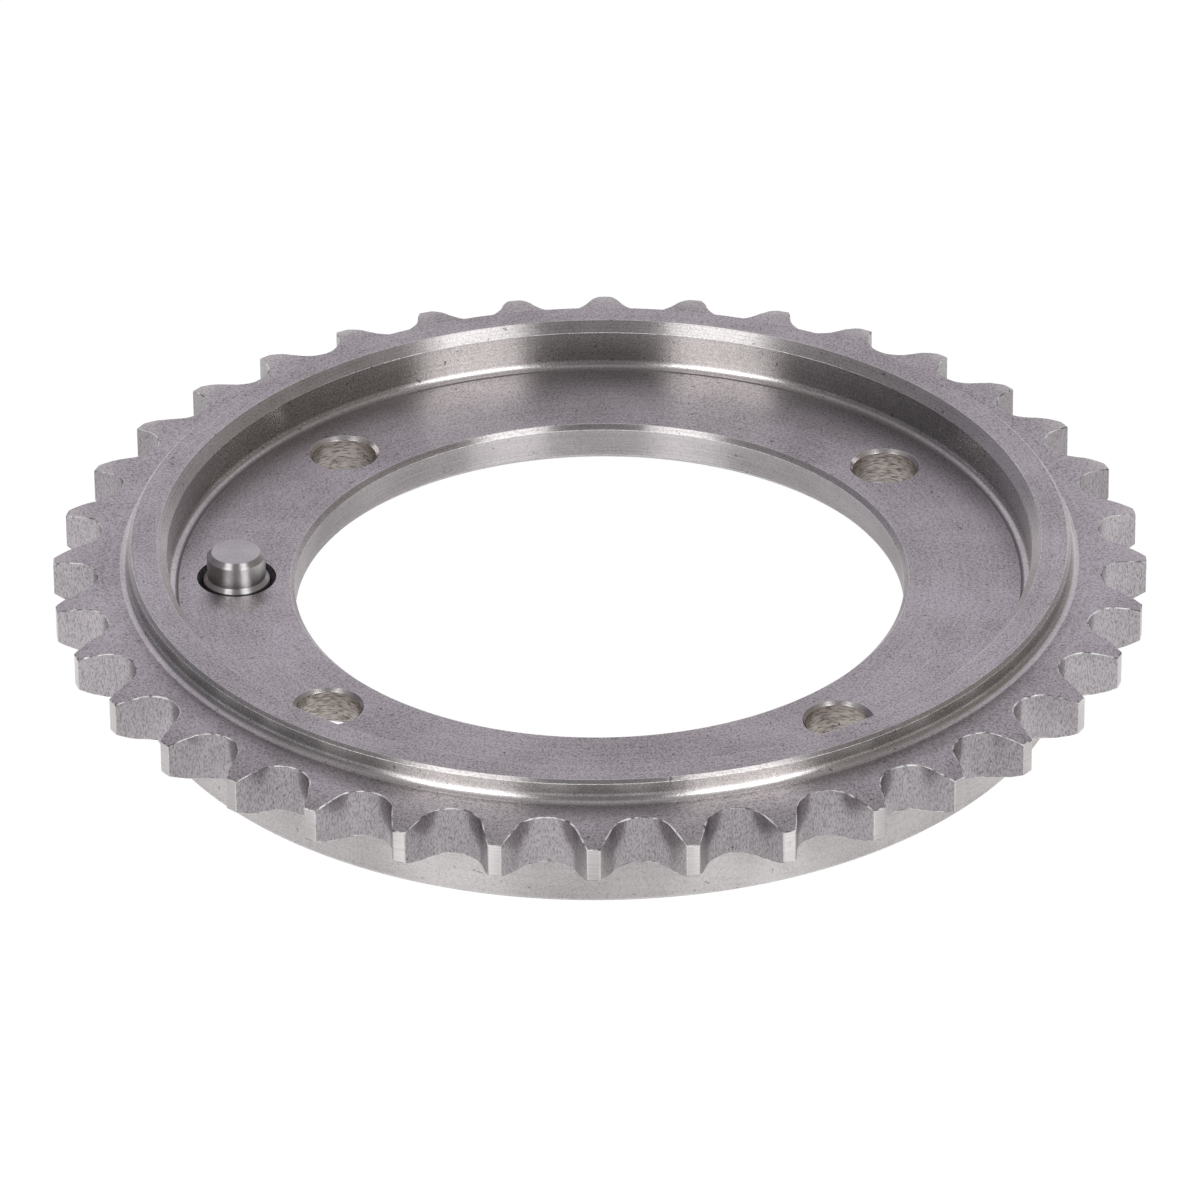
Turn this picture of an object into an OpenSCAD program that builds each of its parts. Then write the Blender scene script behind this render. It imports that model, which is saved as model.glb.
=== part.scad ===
// Ring-type camshaft gear for a roller timing chain: one turned and hobbed
// steel ring, with a stepped dowel pin pressed into its web.
// The axis is Z. Z = 0 is the lower end of the boss, and a tooth and the
// dowel pin both lie on the -X side.

/* [Chain] */
// Pitch of the chain, from roller to roller
chain_pitch = 9.525; // [9:0.025:12.7]
// Diameter of the chain's rollers
roller_d = 6.35; // [5:0.05:7]
// Number of teeth
tooth_count = 36; // [34:1:48]

/* [Tooth form] */
// Play of a roller in its seat, on the diameter
seat_play = 0.05; // [0:0.01:0.3]
// Angle of the seat that a roller beds on
seat_angle = 131; // [120:1:140]
// Radius of the rounded flank above the seat
flank_r = 29; // [15:0.5:60]
// Height of the tooth tips above the pitch circle
tip_rise = 1.36; // [0.8:0.02:1.6]
// Width of the toothed rim, along the axis
rim_w = 5.2; // [3:0.1:7]
// Height of the rim's middle plane above the web's middle plane
rim_rise = 2.15; // [0:0.05:4]
// Depth of the relief on each side of a tooth, at its tip
relief_depth = 0.86; // [0.2:0.02:1.4]
// Radius that the tooth sides are relieved with
relief_r = 9.525; // [6:0.025:20]

/* [Ring] */
// Depth of the recess under the web
lower_depth = 5; // [2:0.1:8]
// Thickness of the web
web_t = 4; // [2.5:0.1:8]
// Depth of the recess above the web
upper_depth = 5; // [3.5:0.1:9]
// Width of the flat ledge from the tooth roots to the collar
root_ledge = 3.2; // [1.5:0.05:4]
// Wall of the collar and the boss
wall_t = 4; // [2.5:0.1:5]
// Diameter of the bore
bore_d = 62.5; // [50:0.5:70]

/* [Bolt holes] */
// How much nearer the bore the bolt circle lies than the middle of the web
bolt_inset = 0.5; // [0:0.05:1.5]
// Diameter of the bolt holes
bolt_hole_d = 6.6; // [4:0.1:8]
// Number of bolt holes
bolt_count = 4; // [1:1:4]
// Angle from each bolt hole to the next
bolt_step = 87; // [40:1:110]
// Chamfer at both ends of the bolt holes
bolt_chamfer = 0.35; // [0.1:0.05:0.6]

/* [Dowel pin] */
// Diameter of the pin's free end
pin_d = 6; // [4:0.1:6.4]
// Diameter of the pin's pressed shank
shank_d = 6.8; // [6.6:0.1:8]
// Height of the pin above the web
pin_stand = 3; // [1.5:0.1:6]
// Height of the shank's shoulder above the web
shoulder_rise = 0.25; // [0.1:0.05:1]
// Height of the chamfer on the pin's free end
pin_chamfer = 0.5; // [0.1:0.05:1]
// Chamfer at the mouth of the pin's hole
mouth_chamfer = 0.65; // [0.2:0.05:1]

/* [Edges] */
// Chamfer inside the collar and the boss
inner_chamfer = 1; // [0.3:0.05:2]
// Chamfer outside the collar and the boss
outer_chamfer = 0.35; // [0.1:0.05:1]
// Chamfer at both ends of the bore
bore_chamfer = 0.5; // [0.1:0.05:1]
// Fillet in the corners of both recesses
recess_fillet = 0.7; // [0.2:0.05:1.5]
// Fillet from the rim to the collar and to the boss
rim_fillet = 0.85; // [0.2:0.05:1.5]

/* [Hidden] */
$fn = 180;
steel = [0.56, 0.55, 0.56];
bright_steel = [0.72, 0.72, 0.73];

// Extra length that lets one shape cut cleanly through another
over = 1;

tooth_step = 360 / tooth_count;
pitch_r = chain_pitch / (2 * sin(tooth_step / 2));
seat_r = (roller_d + seat_play) / 2;
root_r = pitch_r - seat_r;
tip_r = pitch_r + tip_rise;
half_gap = tip_r * sin(tooth_step / 2);

web_z = lower_depth;
web_top_z = web_z + web_t;
top_z = web_top_z + upper_depth;
rim_mid_z = web_z + web_t / 2 + rim_rise;
rim_low_z = rim_mid_z - rim_w / 2;
rim_top_z = rim_mid_z + rim_w / 2;

collar_r = root_r - root_ledge;
recess_r = collar_r - wall_t;
bore_r = bore_d / 2;
bolt_circle_r = (bore_r + recess_r) / 2 - bolt_inset;

// Radius at which the relief of the tooth sides starts
relief_start_r = tip_r - sqrt(pow(relief_r, 2) - pow(relief_r - relief_depth, 2));
pin_angle = 180;

// The corner between a floor and a wall, filled by a fillet of radius r.
// The floor runs along +X and the wall along +Y from the corner.
module fillet(r) {
    difference() {
        square(r);
        translate([r, r]) circle(r);
    }
}

// Outline of one tooth gap, for a roller centred on +X at the pitch circle:
// a round seat, and two flanks that bulge into the gap from the seat's ends
module tooth_gap() {
    half_seat = seat_angle / 2;
    seat_end = [pitch_r - seat_r * cos(half_seat), seat_r * sin(half_seat)];
    flank_centre = [
        pitch_r - (seat_r + flank_r) * cos(half_seat),
        (seat_r + flank_r) * sin(half_seat)
    ];
    mouth = [tip_r + over, half_gap + over / 2];
    translate([pitch_r, 0]) circle(seat_r);
    difference() {
        polygon([
            seat_end,
            mouth,
            [mouth.x, -mouth.y],
            [seat_end.x, -seat_end.y]
        ]);
        for (side = [-1, 1]) {
            translate([flank_centre.x, side * flank_centre.y]) circle(flank_r, $fn = 720);
        }
    }
}

// Plan of the teeth, with a tooth on +X
module tooth_plan() {
    difference() {
        circle(tip_r + over / 2);
        for (i = [0 : tooth_count - 1]) {
            rotate((i + 0.5) * tooth_step) tooth_gap();
        }
    }
}

// Half section of the toothed rim, with its sides relieved towards the tips
module rim_section() {
    difference() {
        translate([recess_r + wall_t / 2, rim_low_z]) {
            square([tip_r - recess_r - wall_t / 2, rim_w]);
        }
        for (side = [-1, 1]) {
            difference() {
                translate([relief_start_r, rim_mid_z + side * rim_w / 2 - relief_r]) {
                    square([relief_r, 2 * relief_r]);
                }
                translate([relief_start_r, rim_mid_z + side * (rim_w / 2 - relief_r)]) {
                    circle(relief_r, $fn = 720);
                }
            }
        }
    }
}

// Half section of the hub: boss, web and collar, with its chamfers and fillets
module hub_section() {
    polygon([
        [collar_r - outer_chamfer, 0],
        [collar_r, outer_chamfer],
        [collar_r, top_z - outer_chamfer],
        [collar_r - outer_chamfer, top_z],
        [recess_r + inner_chamfer, top_z],
        [recess_r, top_z - inner_chamfer],
        [recess_r, web_top_z],
        [bore_r + bore_chamfer, web_top_z],
        [bore_r, web_top_z - bore_chamfer],
        [bore_r, web_z + bore_chamfer],
        [bore_r + bore_chamfer, web_z],
        [recess_r, web_z],
        [recess_r, inner_chamfer],
        [recess_r + inner_chamfer, 0]
    ]);
    translate([recess_r, web_top_z]) mirror([1, 0]) fillet(recess_fillet);
    translate([recess_r, web_z]) rotate(180) fillet(recess_fillet);
    translate([collar_r, rim_top_z]) fillet(rim_fillet);
    translate([collar_r, rim_low_z]) mirror([0, 1]) fillet(rim_fillet);
}

// A through hole in the web with a chamfer c at its upper end, and one at
// its lower end as well if both is true
module web_hole(d, c, both) {
    translate([0, 0, web_z - over]) cylinder(d = d, h = web_t + 2 * over);
    translate([0, 0, web_top_z - c]) cylinder(d1 = d, d2 = d + 2 * (c + over), h = c + over);
    if (both) {
        translate([0, 0, web_z - over]) {
            cylinder(d1 = d + 2 * (c + over), d2 = d, h = c + over);
        }
    }
}

// The ring: turned hub and rim in one piece, with hobbed teeth and drilled web
module sprocket_ring() {
    color(steel) difference() {
        union() {
            rotate_extrude() hub_section();
            intersection() {
                linear_extrude(top_z) tooth_plan();
                rotate_extrude() rim_section();
            }
        }
        for (i = [0 : bolt_count - 1]) {
            rotate(pin_angle + (i - 0.5) * bolt_step) translate([bolt_circle_r, 0, 0]) {
                web_hole(bolt_hole_d, bolt_chamfer, true);
            }
        }
        rotate(pin_angle) translate([bolt_circle_r, 0, 0]) {
            web_hole(shank_d, mouth_chamfer, false);
        }
    }
}

// The dowel pin: a shank pressed flush with the web's underside, a shoulder
// just above the web, and a thinner free end with a chamfer
module dowel_pin() {
    step = (shank_d - pin_d) / 2;
    shoulder_z = web_top_z + shoulder_rise;
    pin_top_z = web_top_z + pin_stand;
    color(bright_steel) rotate(pin_angle) translate([bolt_circle_r, 0, 0]) {
        rotate_extrude() polygon([
            [0, web_z],
            [shank_d / 2, web_z],
            [shank_d / 2, shoulder_z - step],
            [pin_d / 2, shoulder_z],
            [pin_d / 2, pin_top_z - pin_chamfer],
            [pin_d / 2 - pin_chamfer, pin_top_z],
            [0, pin_top_z]
        ]);
    }
}

sprocket_ring();
dowel_pin();
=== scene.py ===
"""Camshaft gear: a turned and hobbed steel ring with a dowel pin in its web.

The script goes from the outside in: the camera, the photographer's table and studio, then
the ring's turned section, its teeth, the web's holes, its finishes, and the pressed-in pin.
"""
import math

import bpy
import numpy as np
from mathutils import Matrix, Vector
from mathutils.geometry import tessellate_polygon


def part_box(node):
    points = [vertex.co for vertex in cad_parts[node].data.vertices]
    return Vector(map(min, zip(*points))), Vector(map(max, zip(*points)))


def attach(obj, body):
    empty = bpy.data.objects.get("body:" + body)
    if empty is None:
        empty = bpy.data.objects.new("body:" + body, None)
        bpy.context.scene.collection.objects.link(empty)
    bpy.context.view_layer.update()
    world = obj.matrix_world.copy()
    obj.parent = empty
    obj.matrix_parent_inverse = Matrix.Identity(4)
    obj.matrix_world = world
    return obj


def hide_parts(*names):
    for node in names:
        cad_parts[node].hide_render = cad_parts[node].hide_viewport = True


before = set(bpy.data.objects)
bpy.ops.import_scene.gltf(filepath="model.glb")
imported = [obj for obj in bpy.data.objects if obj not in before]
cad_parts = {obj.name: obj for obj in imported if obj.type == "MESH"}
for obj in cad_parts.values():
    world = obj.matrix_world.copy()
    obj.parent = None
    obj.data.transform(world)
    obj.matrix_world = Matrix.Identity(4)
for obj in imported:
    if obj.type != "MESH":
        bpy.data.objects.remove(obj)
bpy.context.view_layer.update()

# Camera. It stands well back and looks down on the ring at 30.6 degrees through a long lens,
# a little to the right of the tooth that points at it, as the photograph was taken.
MM = 0.001
camera_azimuth = math.radians(270.83)
camera_elevation = math.radians(30.583)
camera_roll = -0.009
camera_distance = 1007.7 * MM
camera_target = Vector((0.02, 0.0, 6.16)) * MM
camera_lens = 294.31

flat_back = Vector((math.cos(camera_azimuth), math.sin(camera_azimuth), 0.0))
back = flat_back * math.cos(camera_elevation) + Vector((0, 0, math.sin(camera_elevation)))
level_right = Vector((0, 0, 1)).cross(back).normalized()
level_up = back.cross(level_right)
right = level_right * math.cos(camera_roll) + level_up * math.sin(camera_roll)
up = level_up * math.cos(camera_roll) - level_right * math.sin(camera_roll)

camera_data = bpy.data.cameras.new("camera")
camera_data.lens = camera_lens
camera_data.sensor_width = 36.0
camera_data.clip_start = 0.05
camera_data.clip_end = 50.0
camera = bpy.data.objects.new("camera", camera_data)
camera.matrix_world = Matrix((
    (right.x, up.x, back.x, 0),
    (right.y, up.y, back.y, 0),
    (right.z, up.z, back.z, 0),
    (0, 0, 0, 1),
))
camera.location = camera_target + back * camera_distance
bpy.context.scene.collection.objects.link(camera)
bpy.context.scene.camera = camera
bpy.context.scene.view_settings.view_transform = "Standard"

# Table and studio. The gear lies on a white sheet in front of a white backdrop, in a dim room
# with one tall soft lamp on each side of the camera. For reflected rays alone the sheet glows
# brighter inside the bore, in front of the gear and in a band beside it: a painted reflection,
# which the steel mirrors brighter there.
table_half = 6.0
table_white = (0.9, 0.9, 0.9, 1.0)
table_glow = 1.06
table_seen = 0.92
table_mirrored = 0.5
painted_reflection_glow = 0.2
bore_floor = (20 * MM, 30 * MM)
front_strip = (-60 * MM, -40 * MM)
painted_band_glow = 0.5
band_middle = -14 * MM
band_reach = (20 * MM, 36 * MM)
sky_level = 0.4
room_radius = 3.0
room_front = (0.175, 0.165, 0.17, 1.0)
room_cool = (0.14, 0.14, 0.16, 1.0)
room_warm = (0.22, 0.20, 0.18, 1.0)
room_high = (0.34, 0.32, 0.32, 1.0)
ceiling = (0.46, 0.45, 0.46, 1.0)
backdrop_white = (0.98, 0.96, 0.96, 1.0)
backdrop_far = (0.70, 0.66, 0.73, 1.0)
backdrop_height = 0.85
soft_edge = 0.13
backdrop_lean = 0.25
backdrop_side = (0.42, 0.62)
backdrop_turn = (0.56, 0.72)
backdrop_fade = (0.1, 0.45)
tint_change = (-0.5, 0.6)
high_change = (0.5, 0.75)
front_change = (-0.9, -0.5)
ceiling_change = (0.88, 0.98)
lamp_spread = math.radians(34)
lamp_distance = 1.6
lamp_width = 0.8
lamp_height = 1.75
lamp_middle = 1.1
lamp_radiance = 3.6


class Wire:
    """One output of a shader node. Sums and products of wires become Math nodes."""

    def __init__(self, tree, socket=None):
        self.tree = tree
        self.socket = socket

    def node(self, kind, settings, values, output=0):
        """A new node of that kind: its settings first, then its sockets' values or links."""
        made = self.tree.nodes.new(kind)
        for name, value in settings.items():
            setattr(made, name, value)
        for key, value in values.items():
            if isinstance(value, Wire):
                self.tree.links.new(value.socket, made.inputs[key])
            else:
                made.inputs[key].default_value = value
        return Wire(self.tree, made.outputs[output])

    def math(self, operation, *values):
        """A Math node on those values."""
        return self.node("ShaderNodeMath", {"operation": operation}, dict(enumerate(values)))

    def __add__(self, other):
        return self.math("ADD", self, other)

    def __radd__(self, other):
        return self.math("ADD", other, self)

    def __sub__(self, other):
        return self.math("SUBTRACT", self, other)

    def __rsub__(self, other):
        return self.math("SUBTRACT", other, self)

    def __mul__(self, other):
        return self.math("MULTIPLY", self, other)

    def __rmul__(self, other):
        return self.math("MULTIPLY", other, self)

    def ramp(self, low, high, to_low=0.0, to_high=1.0):
        """This value, eased from to_low at low to to_high at high, and held outside them."""
        return self.node(
            "ShaderNodeMapRange",
            {"interpolation_type": "SMOOTHSTEP"},
            {0: self, 1: low, 2: high, 3: to_low, 4: to_high},
        )

    def paint(self, colour_0, colour_1):
        """A colour mixed from two, by this value."""
        return self.node(
            "ShaderNodeMix", {"data_type": "RGBA"}, {0: self, 6: colour_0, 7: colour_1}, 2
        )


def new_material(name):
    """An empty material with its output node, and the wire that new nodes start from."""
    material = bpy.data.materials.new(name)
    material.use_nodes = True
    material.node_tree.nodes.clear()
    output = material.node_tree.nodes.new("ShaderNodeOutputMaterial")
    return material, output, Wire(material.node_tree)


def put_in_scene(name, mesh, materials):
    """An object at the origin with that mesh and those materials."""
    for material in materials:
        mesh.materials.append(material)
    piece = bpy.data.objects.new(name, mesh)
    bpy.context.scene.collection.objects.link(piece)
    return piece


def seen_by(wire, direct, mirrored):
    """The value for camera rays, that for reflected and refracted rays, and 0 for the light
    that falls on matt surfaces."""
    path = wire.node("ShaderNodeLightPath", {}, {}, "Is Camera Ray")
    glossy = Wire(path.tree, path.socket.node.outputs["Is Glossy Ray"])
    through = Wire(path.tree, path.socket.node.outputs["Is Transmission Ray"])
    indirect = glossy.math("MAXIMUM", glossy, through)
    return path.math("MAXIMUM", path * direct, indirect * mirrored)


world = bpy.data.worlds.new("studio")
world.use_nodes = True
world.node_tree.nodes.clear()
world_output = world.node_tree.nodes.new("ShaderNodeOutputWorld")
wire = Wire(world.node_tree)
sky = wire.node(
    "ShaderNodeBackground", {}, {"Strength": seen_by(wire, 1, 1).ramp(0, 1, sky_level, 1.0)}
)
world.node_tree.links.new(sky.socket, world_output.inputs["Surface"])
bpy.context.scene.world = world

table_material, output, wire = new_material("table_white")
place = wire.node("ShaderNodeTexCoord", {}, {}, "Object")
across = wire.node("ShaderNodeSeparateXYZ", {}, {0: place}, 1)
inside = wire.node("ShaderNodeVectorMath", {"operation": "LENGTH"}, {0: place}, "Value")
# Painted reflection: where the sheet glows brighter for reflected rays, not for the camera.
painted_reflection = inside.math(
    "MAXIMUM",
    inside.ramp(*bore_floor, painted_reflection_glow, 0.0),
    across.ramp(*front_strip, painted_reflection_glow, 0.0),
)
band = across.math("ABSOLUTE", across - band_middle).ramp(*band_reach, painted_band_glow, 0.0)
painted_reflection = painted_reflection.math("MAXIMUM", painted_reflection, band)
cloth = wire.node("ShaderNodeBsdfDiffuse", {}, {"Color": table_white})
glow = wire.node("ShaderNodeEmission", {}, {"Strength": table_glow})
share = seen_by(wire, table_seen, painted_reflection + table_mirrored)
shown = wire.node("ShaderNodeMixShader", {}, {0: share, 1: cloth, 2: glow})
wire.tree.links.new(shown.socket, output.inputs["Surface"])
table_mesh = bpy.data.meshes.new("table")
table_mesh.from_pydata(
    [(x * table_half, y * table_half, 0) for x, y in ((-1, -1), (1, -1), (1, 1), (-1, 1))],
    [],
    [(0, 1, 2, 3)],
)
table = put_in_scene("table", table_mesh, [table_material])

# The room is a dome that is seen in the metal alone: dim, cool on the left, warm on the right
# and paler above, with a pale ceiling and a white backdrop behind the table.
room_material, output, wire = new_material("studio_room")
place = wire.node("ShaderNodeTexCoord", {}, {}, "Object")
direction = wire.node("ShaderNodeVectorMath", {"operation": "NORMALIZE"}, {0: place})
sideways = wire.node("ShaderNodeSeparateXYZ", {}, {0: direction}, 0)
height = wire.node("ShaderNodeSeparateXYZ", {}, {0: direction}, 2)
level = wire.node("ShaderNodeMapping", {}, {"Vector": place, "Scale": (1, 1, 0)})
level = wire.node("ShaderNodeVectorMath", {"operation": "NORMALIZE"}, {0: level})
behind = wire.node("ShaderNodeSeparateXYZ", {}, {0: level}, 1)
beside = sideways.math("ABSOLUTE", sideways) - height * backdrop_lean
beside = beside.math(
    "MAXIMUM", beside.ramp(*backdrop_side), behind.ramp(*backdrop_turn, 1.0, 0.0)
)
above = height.ramp(backdrop_height - soft_edge, backdrop_height + soft_edge)
off_backdrop = beside.math("MAXIMUM", beside, above)
tint = sideways.ramp(*tint_change).paint(room_cool, room_warm)
tint = height.ramp(*high_change).paint(tint, room_high)
tint = behind.ramp(*front_change).paint(room_front, tint)
tint = height.ramp(*ceiling_change).paint(tint, ceiling)
backdrop = height.ramp(*backdrop_fade).paint(backdrop_white, backdrop_far)
tint = off_backdrop.paint(backdrop, tint)
glow = wire.node("ShaderNodeEmission", {}, {"Color": tint, "Strength": 1.0})
wire.tree.links.new(glow.socket, output.inputs["Surface"])

turn, rise = np.meshgrid(
    np.radians(np.linspace(0, 360, 97)), np.radians(np.linspace(0, 89.5, 25))
)
dome = room_radius * np.stack(
    [np.cos(turn) * np.cos(rise), np.sin(turn) * np.cos(rise), np.sin(rise)], axis=-1
)
index = np.arange(dome.shape[0] * dome.shape[1]).reshape(dome.shape[:2])
dome_mesh = bpy.data.meshes.new("room")
dome_mesh.from_pydata(
    dome.reshape(-1, 3).tolist(),
    [],
    np.stack([index[:-1, :-1], index[1:, :-1], index[1:, 1:], index[:-1, 1:]], -1)
    .reshape(-1, 4)
    .tolist(),
)
room = put_in_scene("room", dome_mesh, [room_material])
room.visible_camera = False
room.visible_diffuse = False
room.visible_shadow = False

for side in (-1, 1):
    lamp_data = bpy.data.lights.new("soft_lamp", "AREA")
    lamp_data.shape = "RECTANGLE"
    lamp_data.size = lamp_width
    lamp_data.size_y = lamp_height
    lamp_data.energy = lamp_radiance * math.pi * lamp_width * lamp_height
    lamp = bpy.data.objects.new("soft_lamp", lamp_data)
    turn = camera_azimuth + side * lamp_spread
    away = Vector((math.cos(turn), math.sin(turn), 0.0))
    lamp.location = away * lamp_distance + Vector((0, 0, lamp_middle))
    lamp.rotation_mode = "QUATERNION"
    lamp.rotation_quaternion = away.to_track_quat("Z", "Y")
    lamp.visible_camera = False
    bpy.context.scene.collection.objects.link(lamp)

# The ring's turned section. It was turned from one steel blank: a web with a recess above and
# below it, a collar and a boss round the recesses, and a rim that stands out between them.
ring_low, ring_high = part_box("sprocket_ring")
tip_r = (ring_high.x - ring_low.x) / 2
ring_top = ring_high.z
pitch_r = 54.6429 * MM
seat_r = 3.2 * MM
root_r = pitch_r - seat_r
collar_r = root_r - 3.2 * MM
recess_r = collar_r - 4.0 * MM
bore_r = 31.25 * MM
web_low = 5.0 * MM
web_top = 9.0 * MM
rim_low = 6.55 * MM
rim_top = 11.75 * MM
inner_chamfer = 1.0 * MM
outer_chamfer = 0.35 * MM
bore_chamfer = 0.5 * MM
recess_fillet = 0.7 * MM
rim_fillet = 0.85 * MM
edge_break = 0.07 * MM
groove_width = 0.3 * MM
groove_depth = 0.035 * MM
groove_edge = 0.01 * MM
bore_lip_r = bore_r + bore_chamfer + 4 * edge_break
web_edge_r = recess_r - 1.3 * recess_fillet
groove_r = recess_r - 1.1 * recess_fillet
rim_start_r = collar_r + 1.2 * rim_fillet
arc_steps = 4
fine_rounding = 0.1 * MM


def arc_faces(rounding):
    """Faces across an arc: arc_steps on a fillet, half as many on a finely broken edge."""
    return np.where(rounding < fine_rounding, arc_steps // 2, arc_steps)


def rounded(corners):
    """Section points in the order given, with each corner (radius, height, rounding) replaced
    by an arc that touches both of its sides. The first and last corner stay as they are."""
    corner = np.array(corners)
    point, rounding = corner[1:-1, :2], corner[1:-1, 2:]
    to_last = corner[:-2, :2] - point
    to_next = corner[2:, :2] - point
    to_last /= np.linalg.norm(to_last, axis=1, keepdims=True)
    to_next /= np.linalg.norm(to_next, axis=1, keepdims=True)
    half = np.arccos(np.sum(to_last * to_next, axis=1, keepdims=True)) / 2
    middle = to_last + to_next
    middle *= rounding / np.sin(half) / np.linalg.norm(middle, axis=1, keepdims=True)
    start = to_last * rounding / np.tan(half) - middle
    end = to_next * rounding / np.tan(half) - middle
    sweep = (math.pi - 2 * half)[:, None]
    share = np.linspace(0, 1, arc_steps + 1)[None, :, None]
    arcs = start[:, None] * np.sin((1 - share) * sweep) + end[:, None] * np.sin(share * sweep)
    arcs = point[:, None] + middle[:, None] + arcs / np.sin(sweep)
    kept = np.arange(arc_steps + 1) % (arc_steps // arc_faces(rounding)) == 0
    return np.vstack([corner[:1, :2], arcs[kept], corner[-1:, :2]])


bore_corners = [
    (bore_lip_r, web_top, 0),
    (bore_r + bore_chamfer, web_top, edge_break),
    (bore_r, web_top - bore_chamfer, edge_break),
    (bore_r, web_low + bore_chamfer, edge_break),
    (bore_r + bore_chamfer, web_low, edge_break),
    (bore_lip_r, web_low, 0),
]
boss_corners = [
    (web_edge_r, web_low, 0),
    (recess_r, web_low, recess_fillet),
    (recess_r, inner_chamfer, edge_break),
    (recess_r + inner_chamfer, 0, edge_break),
    (collar_r - outer_chamfer, 0, edge_break),
    (collar_r, outer_chamfer, edge_break),
    (collar_r, rim_low, rim_fillet),
    (rim_start_r, rim_low, 0),
]
collar_corners = [
    (rim_start_r, rim_top, 0),
    (collar_r, rim_top, rim_fillet),
    (collar_r, ring_top - outer_chamfer, edge_break),
    (collar_r - outer_chamfer, ring_top, edge_break),
    (recess_r + inner_chamfer, ring_top, edge_break),
    (recess_r, ring_top - inner_chamfer, edge_break),
    (recess_r, web_top, recess_fillet),
    (groove_r, web_top, groove_edge),
    (groove_r - groove_width / 3, web_top - groove_depth, groove_edge),
    (groove_r - groove_width, web_top, groove_edge),
    (web_edge_r - groove_width, web_top, 0),
]

# The teeth. A hob cut the 36 gaps of the steel rim for a roller chain: a round seat and two
# bulging flanks each. The turned rim thins towards the tips, and the hob left torn edges.
tooth_count = 36
half_step = math.pi / tooth_count
half_seat = math.radians(131) / 2
flank_r = 29.0 * MM
relief_r = 9.525 * MM
relief_depth = 0.86 * MM
relief_start_r = tip_r - math.sqrt(relief_r**2 - (relief_r - relief_depth) ** 2)
rim_mid = (rim_low + rim_top) / 2
tip_rounding = 0.02 * MM
gap_edge = 0.09 * MM
torn_spread = 0.35
torn_range = (0.4, 2.0)
side_rows = 9

flank_centre = (
    pitch_r - (seat_r + flank_r) * math.cos(half_seat),
    (seat_r + flank_r) * math.sin(half_seat),
)
seat_turn = math.atan2(
    seat_r * math.sin(half_seat), pitch_r - seat_r * math.cos(half_seat)
)


def gap_radius(turn):
    """Radius of the tooth outline at each angle from the middle of its gap: up to the seat's
    end it is where the ray meets the seat's circle, past it where the ray meets the flank's
    circle, and at the tip the two blend into the tip circle."""
    turn = np.abs(turn)
    seat = pitch_r * np.cos(turn) - np.sqrt(
        np.maximum(seat_r**2 - (pitch_r * np.sin(turn)) ** 2, 0)
    )
    along = flank_centre[0] * np.cos(turn) + flank_centre[1] * np.sin(turn)
    flank = along + np.sqrt(
        np.maximum(along**2 - flank_centre[0] ** 2 - flank_centre[1] ** 2 + flank_r**2, 0)
    )
    cut = np.where(turn < seat_turn, seat, flank)
    return tip_r - tip_rounding * np.logaddexp(0, (tip_r - cut) / tip_rounding)


def rim_side(radius):
    """How far the rim's side lies from its middle plane: half its width, less the relief,
    which falls away along a circle that starts at the relief's start radius."""
    run = np.maximum(radius - relief_start_r, 0)
    return (rim_top - rim_low) / 2 - (relief_r - np.sqrt(relief_r**2 - run**2))


tip_turn = math.radians(4.31)
before_tip = math.radians(0.1)
seat_turns = np.linspace(-half_seat, half_seat, 13)
seat_turns = np.arctan2(seat_r * np.sin(seat_turns), pitch_r - seat_r * np.cos(seat_turns))
flank_turns = np.linspace(seat_turn, tip_turn - before_tip, 5)[1:]
land_turns = tip_turn + (half_step - tip_turn) * np.array([0.0, 0.2, 1.0])
one_gap = np.concatenate([-flank_turns[::-1], seat_turns, flank_turns, land_turns])
one_gap = np.concatenate([-land_turns[1::-1], one_gap])
gap_middles = (np.arange(tooth_count) + 0.5) * 2 * half_step
around = (gap_middles[:, None] + one_gap).ravel()
outline_r = gap_radius(np.tile(one_gap, tooth_count))
outline = outline_r[:, None] * np.stack([np.cos(around), np.sin(around)], axis=1)
ahead = np.roll(outline, -1, axis=0) - np.roll(outline, 1, axis=0)
outward = np.stack([ahead[:, 1], -ahead[:, 0]], axis=1)
outward /= np.linalg.norm(outward, axis=1, keepdims=True)


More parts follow.
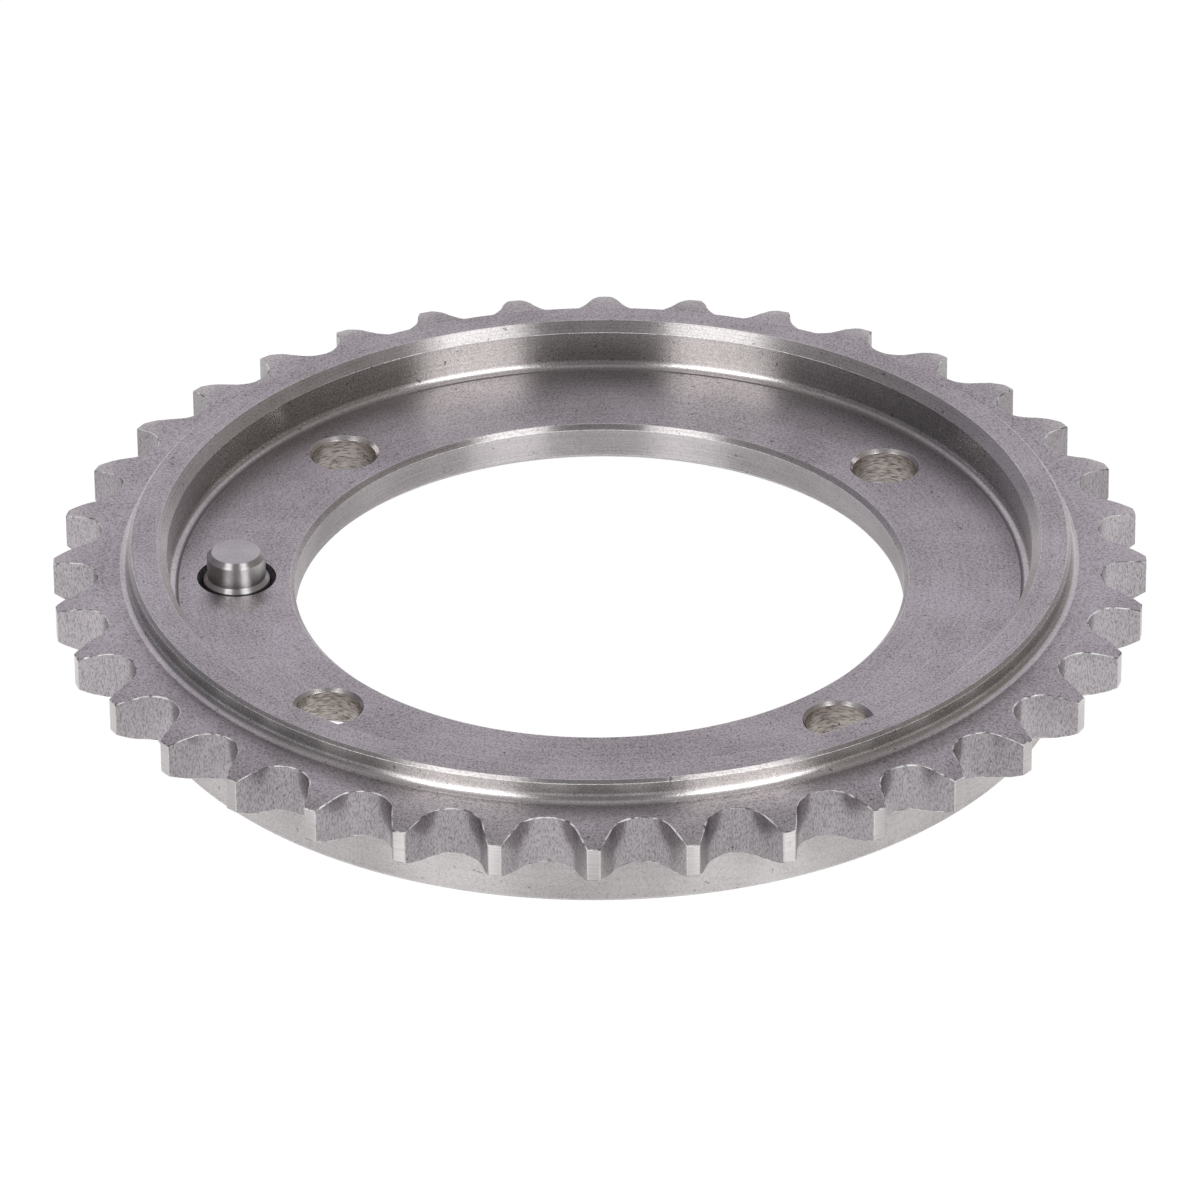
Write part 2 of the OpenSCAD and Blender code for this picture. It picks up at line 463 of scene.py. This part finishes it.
class Shell:
    """The rows of points and the faces of one closed mesh, collected section by section."""

    def __init__(self):
        self.points = []
        self.count = 0
        self.faces = []
        self.finish = []

    def row(self, points):
        """Adds points and returns their numbers."""
        self.points.append(points)
        self.count += len(points)
        return np.arange(self.count - len(points), self.count)

    def skin(self, rows, finish):
        """Joins rows of equal length by quads, each row to the next and round on itself.
        finish is one number, or a table of them by strip and column."""
        finish = np.broadcast_to(finish, (len(rows) - 1, len(rows[0])))
        for low, high, look in zip(rows[:-1], rows[1:], finish):
            quads = np.stack([low, np.roll(low, -1), np.roll(high, -1), high], axis=1)
            self.faces.extend(quads.tolist())
            self.finish.extend(look.tolist())

    def plate(self, outer, holes, up, finish):
        """Fills the flat between an outer row and the rows of its holes, facing up or down."""
        every = np.concatenate(self.points)
        loops = [outer, *holes]
        flat = [[Vector(p) for p in every[loop]] for loop in loops]
        corner = np.concatenate(loops)[np.array(tessellate_polygon(flat))]
        a, b, c = (every[corner[:, k]] for k in range(3))
        wrong = (np.cross(b - a, c - a)[:, 2] > 0) != up
        corner[wrong] = corner[wrong][:, ::-1]
        self.faces.extend(corner.tolist())
        self.finish.extend([finish] * len(corner))

    def mesh(self, name):
        """The mesh, with normals that lean to the larger faces, so that flats shade flat."""
        points = np.concatenate(self.points)
        made = bpy.data.meshes.new(name)
        made.from_pydata(points.tolist(), [], self.faces)
        made.polygons.foreach_set("material_index", self.finish)
        made.polygons.foreach_set("use_smooth", [True] * len(self.faces))
        size = len(made.polygons)
        normal, area = np.zeros(size * 3), np.zeros(size)
        made.polygons.foreach_get("normal", normal)
        made.polygons.foreach_get("area", area)
        corners, total = np.zeros(len(made.loops), int), np.zeros(size, int)
        made.loops.foreach_get("vertex_index", corners)
        made.polygons.foreach_get("loop_total", total)
        weighted = np.repeat(normal.reshape(-1, 3) * area[:, None], total, axis=0)
        lean = np.stack(
            [np.bincount(corners, weighted[:, k], len(points)) for k in range(3)], axis=1
        )
        lean /= np.linalg.norm(lean, axis=1, keepdims=True)
        made.normals_split_custom_set_from_vertices(lean.tolist())
        return made


def revolved(shell, section, turns, centre=(0, 0)):
    """One row of points round the centre for each section point, at those angles."""
    flat = np.stack([np.cos(turns), np.sin(turns)], axis=1)
    return [
        shell.row(np.column_stack([flat * radius + centre, np.full(len(turns), height)]))
        for radius, height in section
    ]


def tooth_rows(shell, side, edge):
    """Rows over one side of the rim, from its fillet out to the tooth outline and over the
    edge onto the gap's wall. side is 1 for the upper side and -1 for the lower one."""
    inner = np.stack([np.cos(around), np.sin(around)], axis=1) * rim_start_r
    rows = []
    last = outline - outward * edge[:, None]
    for share in np.linspace(0, 1, side_rows)[1:]:
        flat = inner + (last - inner) * share
        height = rim_mid + side * rim_side(np.linalg.norm(flat, axis=1))
        rows.append(shell.row(np.column_stack([flat, height])))
    crest = rim_mid + side * rim_side(np.linalg.norm(last, axis=1))
    for turn in np.linspace(0, math.pi / 2, arc_steps)[1:]:
        flat = outline - outward * (edge * (1 - math.sin(turn)))[:, None]
        height = crest - side * edge * (1 - math.cos(turn))
        rows.append(shell.row(np.column_stack([flat, height])))
    return rows


def by_strip(corners, *finishes):
    """The finish of each strip of a rounded section, as a column. finishes names in turn that
    of a straight stretch and of the arc that follows it, and ends with a stretch."""
    width = np.ones(len(finishes), int)
    width[1::2] = arc_faces(np.array(corners)[1:-1, 2])
    return np.repeat(finishes, width)[:, None]


(
    FACE, WALL, CUT, FILLET, EDGE, BORE, BOSS, GAP, BURR, LAND, DRILLED, SINK, GROOVE, MOUTH
) = range(14)
shell = Shell()
bore_rows = revolved(shell, rounded(bore_corners), around)
boss_rows = revolved(shell, rounded(boss_corners), around)
collar_rows = revolved(shell, rounded(collar_corners), around)
rng = np.random.default_rng(36)
torn = np.clip(rng.normal(1.0, torn_spread, len(around)), *torn_range) * gap_edge
upper_rows = tooth_rows(shell, 1, torn)
lower_rows = tooth_rows(shell, -1, torn)
shell.skin(bore_rows, by_strip(bore_corners, FACE, EDGE, CUT, EDGE, BORE, EDGE, CUT, EDGE, FACE))
shell.skin(
    boss_rows,
    by_strip(
        boss_corners, FACE, FILLET, WALL, EDGE, CUT, EDGE, FACE, EDGE, CUT, EDGE, BOSS, FILLET,
        FACE,
    ),
)
shell.skin(
    collar_rows,
    by_strip(
        collar_corners, FACE, FILLET, WALL, EDGE, CUT, EDGE, FACE, EDGE, CUT, EDGE, WALL,
        FILLET, FACE, FACE, GROOVE, GROOVE, GROOVE, FACE, FACE,
    ),
)
shell.skin([boss_rows[-1]] + lower_rows[:side_rows - 1], FACE)
shell.skin(upper_rows[:side_rows - 1][::-1] + [collar_rows[0]], FACE)
land_columns = 4  # the last three columns of one_gap, and the first of the next
on_land = np.roll(np.arange(len(one_gap)) < land_columns, 1 - land_columns)
on_land = np.tile(on_land, tooth_count)
wall_strip = np.arange(2 * arc_steps - 1) == arc_steps - 1
tooth_finish = np.where(wall_strip[:, None], np.where(on_land, LAND, GAP), BURR)
shell.skin(lower_rows[side_rows - 2:] + upper_rows[side_rows - 2:][::-1], tooth_finish)

# The web's holes. Four bolt holes and the pin's hole were drilled through the web on one
# circle and countersunk. It is 87 degrees from one bolt hole to the next, about the pin.
pin_low, pin_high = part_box("dowel_pin")
pin_centre = ((pin_low.x + pin_high.x) / 2, (pin_low.y + pin_high.y) / 2)
shank_r = (pin_high.x - pin_low.x) / 2
bolt_circle_r = math.hypot(*pin_centre)
pin_turn = math.atan2(pin_centre[1], pin_centre[0])
bolt_turns = pin_turn + math.radians(87) * (np.arange(4) - 0.5)
bolt_r = 3.3 * MM
bolt_chamfer = 0.35 * MM
mouth_chamfer = 0.65 * MM
hole_turns = np.linspace(0, 2 * math.pi, 97)[:-1]
hole_edge = 0.05 * MM
bolt_lip_r = bolt_r + bolt_chamfer + 2 * hole_edge

bolt_corners = [
    (bolt_lip_r, web_top, 0),
    (bolt_r + bolt_chamfer, web_top, hole_edge),
    (bolt_r, web_top - bolt_chamfer, hole_edge),
    (bolt_r, web_low + bolt_chamfer, hole_edge),
    (bolt_r + bolt_chamfer, web_low, hole_edge),
    (bolt_lip_r, web_low, 0),
]
pin_hole_corners = [
    (shank_r + mouth_chamfer + 2 * hole_edge, web_top, 0),
    (shank_r + mouth_chamfer, web_top, hole_edge),
    (shank_r, web_top - mouth_chamfer, hole_edge),
    (shank_r, web_low, hole_edge),
    (shank_r + 2 * hole_edge, web_low, 0),
]
hole_rows = [
    revolved(
        shell,
        rounded(bolt_corners),
        hole_turns,
        (bolt_circle_r * math.cos(turn), bolt_circle_r * math.sin(turn)),
    )
    for turn in bolt_turns
]
hole_rows.append(revolved(shell, rounded(pin_hole_corners), hole_turns, pin_centre))
for rows in hole_rows[:-1]:
    shell.skin(
        rows,
        by_strip(
            bolt_corners, FACE, SINK, SINK, SINK, DRILLED, DRILLED, DRILLED, EDGE, FACE
        ),
    )
shell.skin(
    hole_rows[-1],
    by_strip(pin_hole_corners, FACE, MOUTH, MOUTH, MOUTH, DRILLED, DRILLED, FACE),
)
shell.plate(collar_rows[-1], [bore_rows[0]] + [rows[0] for rows in hole_rows], True, FACE)
shell.plate(boss_rows[0], [bore_rows[-1]] + [rows[-1] for rows in hole_rows], False, FACE)
ring_mesh = shell.mesh("machined_ring")

# The ring's finishes. It is bare steel, turned with fine marks round the axis, speckled and
# faintly mauve on its flat faces, and hobbed with fine upright scratches in the gaps. Its broken
# and torn edges carry a painted highlight. The pin hole's mouth and the small groove at the foot
# of the recess carry painted shade.
speckle_span = (0.35, 0.8)
marks_span = (0.3, 0.7)
marks_wander = 0.4 * MM
cloud_scale = 110.0
cloud_tone = 0.2
pit_scale = 1700.0
pit_span = (0.72, 0.78)
tone_gloss = 0.08
bump_height = 0.01 * MM


def steel_finish(name, light, dark, gloss, grain, rings, pits, bump, centre=(0, 0)):
    """Machined steel. gloss is its roughness, anisotropy and metal. grain is the speckle's
    scales along X, Y and Z and its depth, rings that of the tool's marks round the centre,
    and pits how dark its sparse pits are. All of them darken the colour and dull the gloss."""
    material, output, wire = new_material(name)
    place = wire.node("ShaderNodeTexCoord", {}, {}, "Object")
    drawn = wire.node("ShaderNodeMapping", {}, {"Vector": place, "Scale": grain[:3]})
    speckle = wire.node(
        "ShaderNodeTexNoise", {}, {"Vector": drawn, "Scale": 1.0, "Detail": 1.5, "Roughness": 0.6}
    )
    flat = wire.node(
        "ShaderNodeMapping",
        {},
        {"Vector": place, "Location": (-centre[0], -centre[1], 0), "Scale": (1, 1, 0)},
    )
    radius = wire.node("ShaderNodeVectorMath", {"operation": "LENGTH"}, {0: flat}, "Value")
    height = wire.node("ShaderNodeSeparateXYZ", {}, {0: place}, 2)
    cloud = wire.node(
        "ShaderNodeTexNoise", {}, {"Vector": place, "Scale": cloud_scale, "Detail": 2.0}
    )
    track = wire.node("ShaderNodeCombineXYZ", {}, {0: radius, 1: height, 2: cloud * marks_wander})
    marks = wire.node(
        "ShaderNodeTexNoise", {}, {"Vector": track, "Scale": rings[0], "Detail": 2.0}
    )
    pit = wire.node(
        "ShaderNodeTexNoise", {}, {"Vector": place, "Scale": pit_scale, "Detail": 1.0}
    ).ramp(*pit_span)
    tone = (
        speckle.ramp(*speckle_span) * grain[3]
        + marks.ramp(*marks_span) * rings[1]
        + pit * pits
        + cloud.ramp(*marks_span) * cloud_tone
    )
    shader = wire.node(
        "ShaderNodeBsdfPrincipled",
        {},
        {
            "Base Color": tone.paint(light, dark),
            "Metallic": gloss[2],
            "Roughness": gloss[0] + tone * tone_gloss,
            "Anisotropic": gloss[1],
            "Anisotropic Rotation": 0.25,
            "Normal": wire.node(
                "ShaderNodeBump",
                {},
                {
                    "Strength": bump,
                    "Distance": bump_height,
                    "Height": speckle + marks * rings[1] - pit * pits,
                },
            ),
        },
    )
    wire.tree.links.new(shader.socket, output.inputs["Surface"])
    return material


mauve = (0.62, 0.588, 0.60, 1.0)
mauve_dark = (0.19, 0.18, 0.18, 1.0)
dull = (0.62, 0.59, 0.58, 1.0)
dull_dark = (0.22, 0.205, 0.20, 1.0)
warm = (0.76, 0.728, 0.73, 1.0)
warm_dark = (0.30, 0.285, 0.28, 1.0)
turned = (0.69, 0.657, 0.66, 1.0)
plain = (0.64, 0.60, 0.618, 1.0)
plain_dark = (0.22, 0.21, 0.21, 1.0)
tip_bright = (0.83, 0.795, 0.795, 1.0)
hobbed = (0.50, 0.466, 0.487, 1.0)
hobbed_dark = (0.13, 0.12, 0.125, 1.0)
# Painted highlight: the broken and torn edges are rounded and catch the lamps, and on top of that
# they are near white, brighter than the steel, and the torn ones partly matt, so they show as
# bright lines in any light.
painted_edge_highlight = (0.97, 0.96, 0.96, 1.0)
drilled = (0.54, 0.485, 0.455, 1.0)
drilled_dark = (0.12, 0.10, 0.09, 1.0)
# Painted shade: the small groove at the foot of the recess fillet is dark, for the thin dark line
# of shade in that corner.
groove_shade = (0.30, 0.285, 0.28, 1.0)
# Painted shade: the pin hole's mouth is near black, for the shade deep in it.
mouth_shade_black = (0.02, 0.02, 0.024, 1.0)
fine = (4800, 4800, 4800)
coarse = (1000, 1000, 1000)
face_steel = steel_finish(
    "turned_face", mauve, mauve_dark, (0.28, 0.85, 1), (*fine, 0.75), (3000, 0.1), 0.6, 0.13
)
wall_steel = steel_finish(
    "turned_wall", dull, dull_dark, (0.25, 1.0, 1), (*fine, 0.45), (4500, 0.15), 0.8, 0.2
)
cut_steel = steel_finish(
    "turned_chamfer", warm, warm_dark, (0.26, 1.0, 1), (*fine, 0.5), (4500, 0.2), 0.8, 0.25
)
fillet_steel = steel_finish(
    "turned_fillet", warm, warm_dark, (0.25, 0.9, 1), (*fine, 0.4), (4500, 0.2), 0.8, 0.15
)
edge_steel = steel_finish(
    "broken_edge_painted_highlight", painted_edge_highlight, warm_dark, (0.45, 0, 1), (2500, 2500, 2500, 0.6), (3000, 0), 0.8, 0.1
)
bore_steel = steel_finish(
    "bored_wall", plain, plain_dark, (0.31, 1.0, 1), (*fine, 0.3), (9000, 0.25), 0.5, 0.3
)
boss_steel = steel_finish(
    "turned_boss", turned, warm_dark, (0.36, 0.9, 1), (*fine, 0.4), (6000, 0.1), 0.5, 0.35
)
gap_steel = steel_finish(
    "hobbed_gap", hobbed, hobbed_dark, (0.25, 0, 1), (7000, 7000, 2600, 0.65), (3000, 0),
    0.4, 0.5,
)
burr_steel = steel_finish(
    "torn_burr_painted_highlight", painted_edge_highlight, hobbed_dark, (0.5, 0, 0.35), (*coarse, 1.3), (3000, 0), 0.8, 0.6
)
land_steel = steel_finish(
    "turned_tip", tip_bright, warm_dark, (0.36, 0.9, 1), (600, 600, 6000, 0.15), (9000, 0.2),
    0.2, 0.2,
)
hole_steel = steel_finish(
    "drilled_wall", drilled, drilled_dark, (0.35, 0, 1), (1300, 1300, 6000, 0.9), (3000, 0),
    0.6, 0.7,
)
sink_steel = steel_finish(
    "countersink", warm, warm_dark, (0.24, 0, 1), (*fine, 0.3), (3000, 0), 0.3, 0.15
)
groove_steel = steel_finish(
    "groove_painted_shade", groove_shade, warm_dark, (0.5, 0, 1), (*fine, 0.4), (3000, 0), 0.2, 0.4
)
mouth_steel = steel_finish(
    "mouth_painted_shade", mouth_shade_black, warm_dark, (0.45, 0, 1), (5000, 5000, 5000, 0.35), (3000, 0),
    0.2, 0.9,
)
ring = put_in_scene(
    "machined_ring",
    ring_mesh,
    [
        face_steel,
        wall_steel,
        cut_steel,
        fillet_steel,
        edge_steel,
        bore_steel,
        boss_steel,
        gap_steel,
        burr_steel,
        land_steel,
        hole_steel,
        sink_steel,
        groove_steel,
        mouth_steel,
    ],
)
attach(ring, "root")
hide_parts("sprocket_ring")

# The dowel pin. It is hard steel, ground bright and pressed into the web: a shank with a
# shoulder just above the web, and a thinner chamfered end that locates the mating part.
pin_r = 3.0 * MM
pin_chamfer = 0.5 * MM
shoulder_top = web_top + 0.25 * MM
pin_edge = 0.06 * MM
pin_middle_r = 0.2 * MM
pin_corners = [
    (pin_middle_r, pin_low.z, 0),
    (shank_r, pin_low.z, 2 * pin_edge),
    (shank_r, shoulder_top - (shank_r - pin_r), pin_edge),
    (pin_r, shoulder_top, pin_edge),
    (pin_r, pin_high.z - pin_chamfer, pin_edge),
    (pin_r - pin_chamfer, pin_high.z, pin_edge),
    (pin_middle_r, pin_high.z, 0),
]
shell = Shell()
pin_rows = revolved(shell, rounded(pin_corners), hole_turns, pin_centre)
shell.skin(pin_rows, 0)
shell.plate(pin_rows[-1], [], True, 0)
shell.plate(pin_rows[0], [], False, 0)
ground = (0.60, 0.585, 0.59, 1.0)
pin_steel = steel_finish(
    "ground_pin", ground, warm_dark, (0.32, 0.85, 1), (3500, 3500, 5500, 0.25), (9000, 0.1),
    0.1, 0.08, pin_centre,
)
pin = put_in_scene("ground_dowel", shell.mesh("ground_dowel"), [pin_steel])
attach(pin, "root")
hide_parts("dowel_pin")
